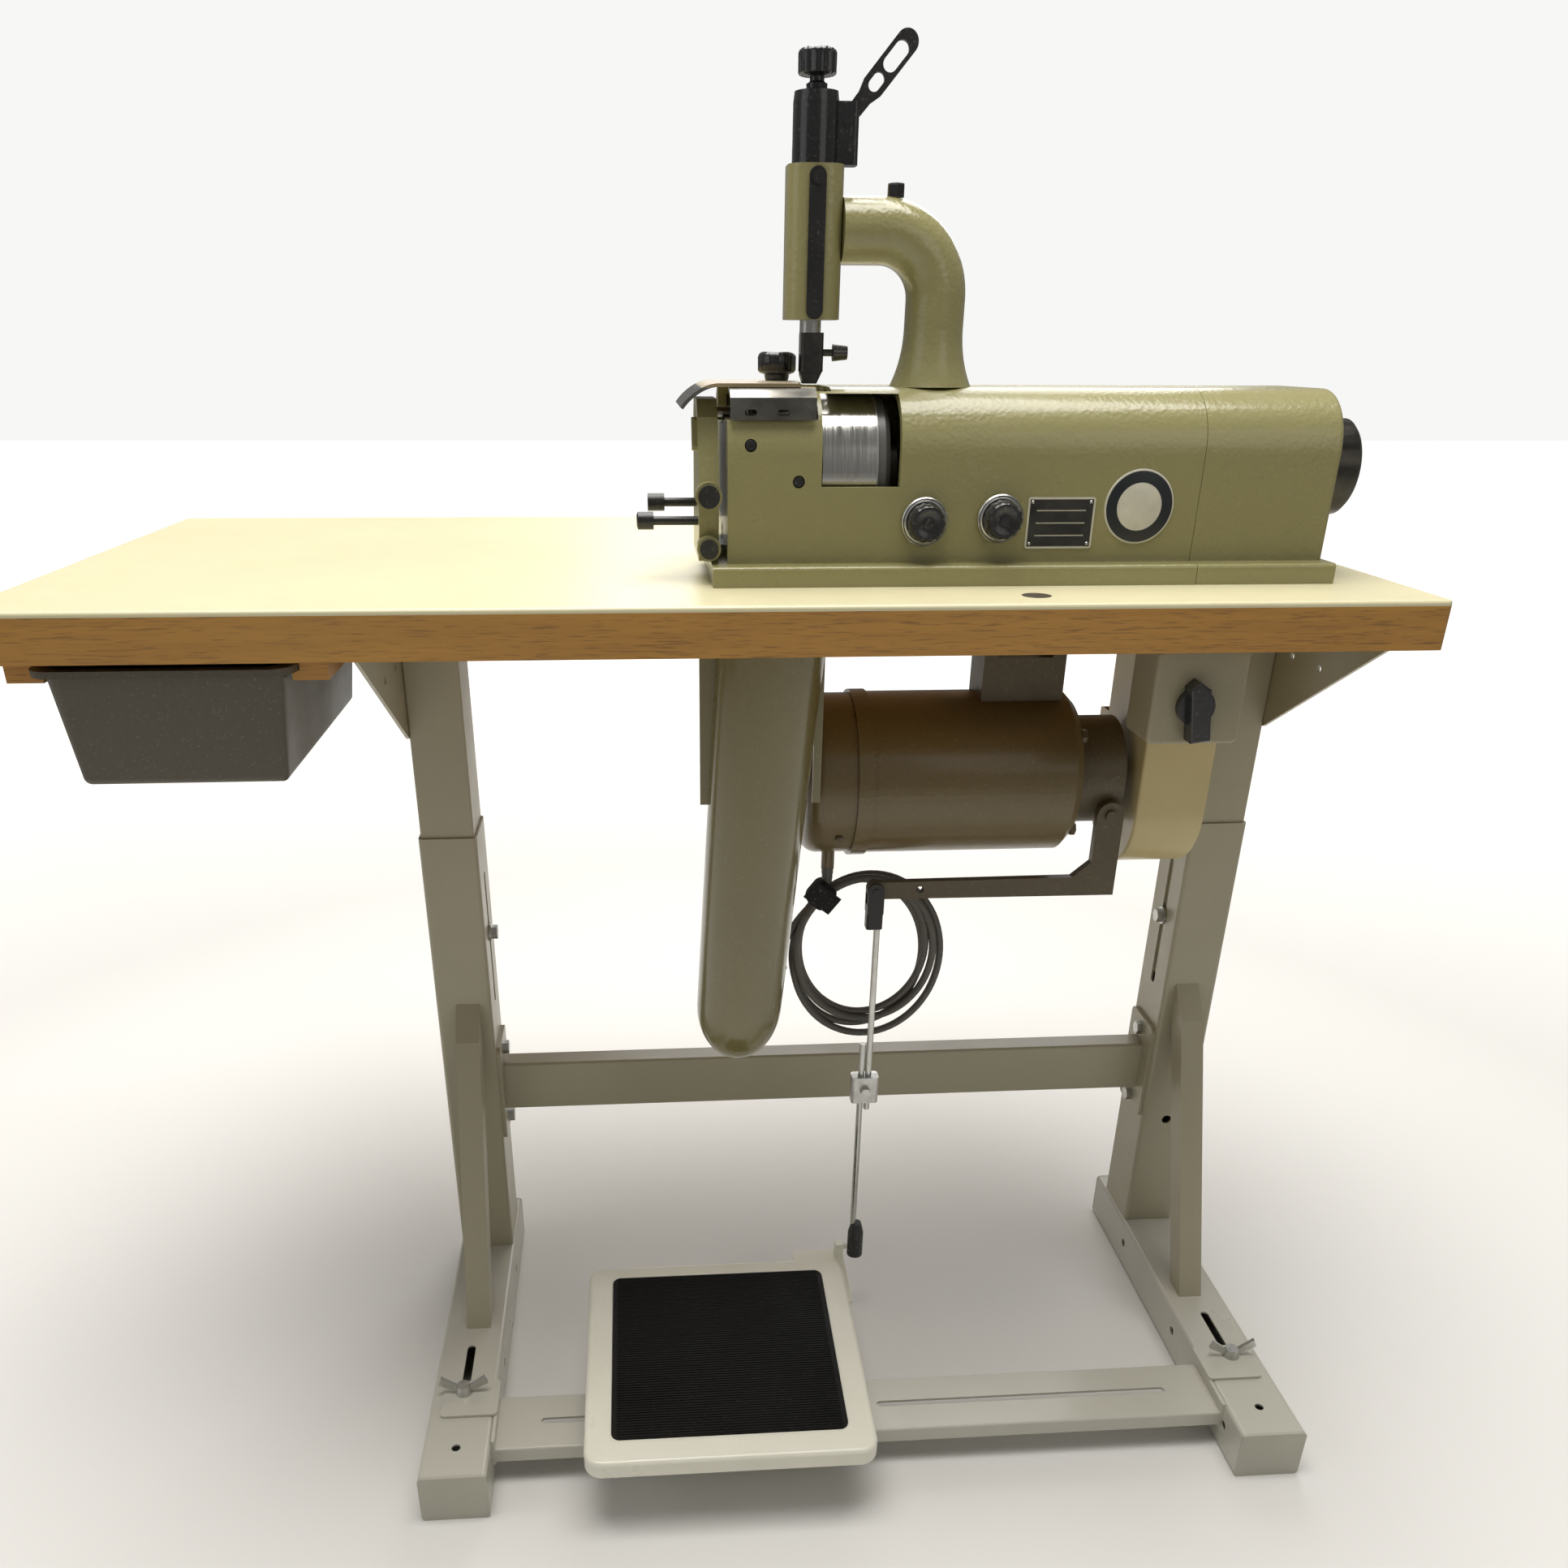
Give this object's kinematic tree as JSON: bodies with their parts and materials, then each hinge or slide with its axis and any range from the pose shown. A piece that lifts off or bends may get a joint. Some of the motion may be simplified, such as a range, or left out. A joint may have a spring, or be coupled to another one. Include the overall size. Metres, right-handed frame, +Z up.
{
  "type": "leather skiving machine",
  "caption": "Bell-knife leather skiving machine on an adjustable treadle table, with clutch motor, belt guard, drawer and scrap chute.",
  "frame": {"origin": "on the floor, under the middle of the machine's box", "axes": "+Z up, +X to the operator's right along the table, the operator sits at -Y"},
  "size_m": [1.06, 0.6489, 1.1305],
  "materials": {
    "stand_paint": "semi-gloss",
    "cap_grey": "semi-gloss",
    "zinc": "zinc plated",
    "treadle_paint": "worn gloss",
    "mat_rubber": "ribbed",
    "boot_rubber": "matte",
    "core_wood": "varnished edge",
    "laminate": "plastic laminate",
    "dark_plastic": "semi-gloss",
    "plug_plastic": "satin",
    "rail_wood": "bare",
    "box_plastic": "satin",
    "head_paint": "hammertone paint",
    "chute_paint": "hammertone",
    "motor_paint": "gloss enamel",
    "cast_bare": "cast",
    "guard_cream": "satin",
    "belt_rubber": "fabric backed",
    "steel": "machined",
    "polished": "polished",
    "black_knob": "gloss",
    "black_steel": "black oxide",
    "cord_black": "matte"
  },
  "bodies": {
    "stand": {"feet": "stand_paint", "foot_caps": "cap_grey", "outer_columns": "stand_paint", "braces": "stand_paint", "crossbar": "stand_paint", "treadle_bar": "stand_paint", "stand_fasteners": "zinc", "pivot_brackets": "zinc"},
    "treadle": {"treadle": "treadle_paint", "treadle_mat": "mat_rubber"},
    "table_unit": {"table_supports": "stand_paint", "height_bolts": "zinc", "table_core": "core_wood", "table_laminate": "laminate", "cable_plug": "plug_plastic", "drawer_rails": "rail_wood", "switch_box": "box_plastic", "scrap_chute": "chute_paint", "motor_housing": "motor_paint", "motor_end_bell": "motor_paint", "clutch_housing": "cast_bare", "motor_bracket": "motor_paint", "belt_guard": "guard_cream", "drive_belt": "belt_rubber", "machine_body": "head_paint", "pulley_cover": "head_paint", "spindle_bearings": "steel", "presser_arm": "head_paint", "presser_cap": "black_knob", "front_strap": "black_steel", "work_plate": "polished", "feed_bracket": "head_paint", "feed_screws": "black_steel", "cord_lead": "cord_black", "cord_coil": "cord_black", "cord_tie": "black_knob", "cord_plug": "cord_black", "pressure_spring": "steel"},
    "drawer": {"drawer": "dark_plastic"},
    "switch_knob": {"switch_knob": "black_knob"},
    "motor_rotor": {"motor_shaft": "steel", "motor_pulley": "cast_bare"},
    "clutch_lever": {"clutch_lever": "cast_bare"},
    "upper_rod": {"rod_upper": "zinc", "rod_clamp": "zinc"},
    "lower_rod": {"rod_lower": "zinc", "lower_boot": "boot_rubber"},
    "spindle": {"bell_knife": "polished", "knife_spindle": "steel", "head_pulley": "cast_bare", "handwheel": "steel"},
    "feed_roller": {"feed_roller": "steel"},
    "grinding_wheel": {"grinding_wheel": "cast_bare"},
    "knife_feed_knob": {"knife_feed_knob": "black_knob"},
    "grinder_knob": {"grinder_knob": "black_knob"},
    "pressure_knob": {"pressure_knob": "black_knob"},
    "gauge_knob": {"gauge_knob": "black_knob"},
    "lifter_lever": {"lifter_lever": "black_steel"},
    "presser_bar": {"presser_bar": "polished", "presser_foot": "steel"}
  },
  "joints": [
    {"name": "table_height", "type": "slide", "parent": "stand", "child": "table_unit", "axis": [0, 0, 1], "range_m": [-0.06, 0.05]},
    {"name": "treadle_hinge", "type": "hinge", "parent": "stand", "child": "treadle", "pos_m": [0, -0.2305, 0.072], "axis": [1, 0, 0], "range_deg": [-10, 0], "stiffness_Nm_per_rad": 30, "springref_deg": 6.88},
    {"name": "clutch_lever_hinge", "type": "hinge", "parent": "table_unit", "child": "clutch_lever", "pos_m": [0.35, -0.0615, 0.561], "axis": [0, 1, 0], "range_deg": [-8.6, 0.1]},
    {"name": "rod_hinge", "type": "hinge", "parent": "clutch_lever", "child": "upper_rod", "pos_m": [0.143, -0.0615, 0.494], "axis": [0, 1, 0], "range_deg": [-0.1, 10.3]},
    {"name": "rod_length", "type": "slide", "parent": "upper_rod", "child": "lower_rod", "axis": [0, 0, 1], "range_m": [-0.0505, 0.0605]},
    {"name": "drawer_slide", "type": "slide", "parent": "table_unit", "child": "drawer", "axis": [0, -1, 0], "range_m": [0, 0.22]},
    {"name": "switch_turn", "type": "hinge", "parent": "table_unit", "child": "switch_knob", "pos_m": [0.352, -0.1925, 0.692], "axis": [0, -1, 0], "range_deg": [0, 90]},
    {"name": "spindle_spin", "type": "hinge", "parent": "table_unit", "child": "spindle", "pos_m": [0.3, -0.0485, 0.848], "axis": [1, 0, 0], "continuous": true},
    {"name": "motor_spin", "type": "hinge", "parent": "table_unit", "child": "motor_rotor", "pos_m": [0.3, -0.0105, 0.588], "axis": [1, 0, 0], "continuous": true},
    {"name": "roller_spin", "type": "hinge", "parent": "table_unit", "child": "feed_roller", "pos_m": [0.05, -0.0485, 0.8867], "axis": [1, 0, 0], "continuous": true},
    {"name": "grinder_spin", "type": "hinge", "parent": "table_unit", "child": "grinding_wheel", "pos_m": [0.05, -0.0485, 0.801], "axis": [1, 0, 0], "continuous": true},
    {"name": "knife_feed_turn", "type": "hinge", "parent": "table_unit", "child": "knife_feed_knob", "pos_m": [0.154, -0.1125, 0.815], "axis": [0, -1, 0], "range_deg": [-180, 180]},
    {"name": "grinder_knob_turn", "type": "hinge", "parent": "table_unit", "child": "grinder_knob", "pos_m": [0.212, -0.1125, 0.817], "axis": [0, -1, 0], "range_deg": [-180, 180]},
    {"name": "pressure_turn", "type": "hinge", "parent": "table_unit", "child": "pressure_knob", "pos_m": [0.0713, -0.0485, 1.1], "axis": [0, 0, 1], "range_deg": [-180, 180]},
    {"name": "gauge_turn", "type": "hinge", "parent": "table_unit", "child": "gauge_knob", "pos_m": [0.049, -0.0245, 0.915], "axis": [0, 0, 1], "range_deg": [-180, 180]},
    {"name": "lifter_turn", "type": "hinge", "parent": "table_unit", "child": "lifter_lever", "pos_m": [0.092, -0.0485, 1.075], "axis": [0, 1, 0], "range_deg": [0, 60]},
    {"name": "presser_lift", "type": "slide", "parent": "table_unit", "child": "presser_bar", "axis": [0, 0, 1], "range_m": [0, 0.0061], "deforming": ["pressure_spring"]}
  ],
  "couplings": [
    {"joint": "clutch_lever_hinge", "follows": "treadle_hinge", "ratio": 0.846},
    {"joint": "rod_hinge", "follows": "treadle_hinge", "ratio": -1.015},
    {"joint": "rod_length", "follows": "table_height", "ratio": -1},
    {"joint": "motor_spin", "follows": "spindle_spin", "ratio": 0.8521},
    {"joint": "roller_spin", "follows": "spindle_spin", "ratio": 0.05},
    {"joint": "grinder_spin", "follows": "spindle_spin", "ratio": -1.6},
    {"joint": "presser_lift", "follows": "lifter_turn", "m_per_rad": 0.0057}
  ]
}
